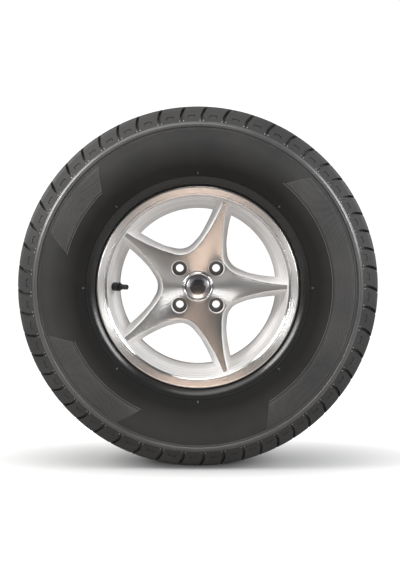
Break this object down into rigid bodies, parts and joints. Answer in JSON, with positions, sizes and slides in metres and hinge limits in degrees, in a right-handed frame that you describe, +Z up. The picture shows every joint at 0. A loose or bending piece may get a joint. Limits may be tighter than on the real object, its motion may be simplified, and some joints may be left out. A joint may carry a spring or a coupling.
{
  "type": "van tyre on alloy wheel",
  "caption": "Van tyre mounted on a star-spoked alloy wheel with a centre cap and a snap-in valve, bolted to a hub.",
  "frame": {"origin": "centre of the wheel, on its axle line in the middle of the rim", "axes": "+Y along the axle towards the vehicle, -Y is the outer face, +Z up, the valve on the -X side"},
  "size_m": [0.6994, 0.216, 0.6993],
  "materials": {
    "tyre_rubber": "moulded rubber with a soft sheen",
    "cast_alloy": "machined faces, silver paint elsewhere",
    "cap_chrome": "bright plating",
    "valve_rubber": "matt",
    "valve_brass": "plain",
    "spring_steel": "plain",
    "cap_plastic": "matt"
  },
  "bodies": {
    "wheel": {"tyre": "tyre_rubber", "alloy_wheel": "cast_alloy", "centre_cap": "cap_chrome", "valve_body": "valve_rubber", "valve_stem": "valve_brass", "core_housing": "valve_brass", "core_spring": "spring_steel"},
    "dust_cap": {"valve_cap": "cap_plastic"},
    "pin": {"core_pin": "valve_brass"}
  },
  "joints": [
    {"name": "valve_cap_off", "type": "slide", "parent": "wheel", "child": "dust_cap", "axis": [0.8022, -0.597, 0], "range_m": [0, 0.02]},
    {"name": "core_pin_press", "type": "slide", "parent": "wheel", "child": "pin", "axis": [-0.8022, 0.597, 0], "range_m": [0, 0.0012], "stiffness_N_per_m": 2500, "deforming": ["core_spring"]}
  ]
}
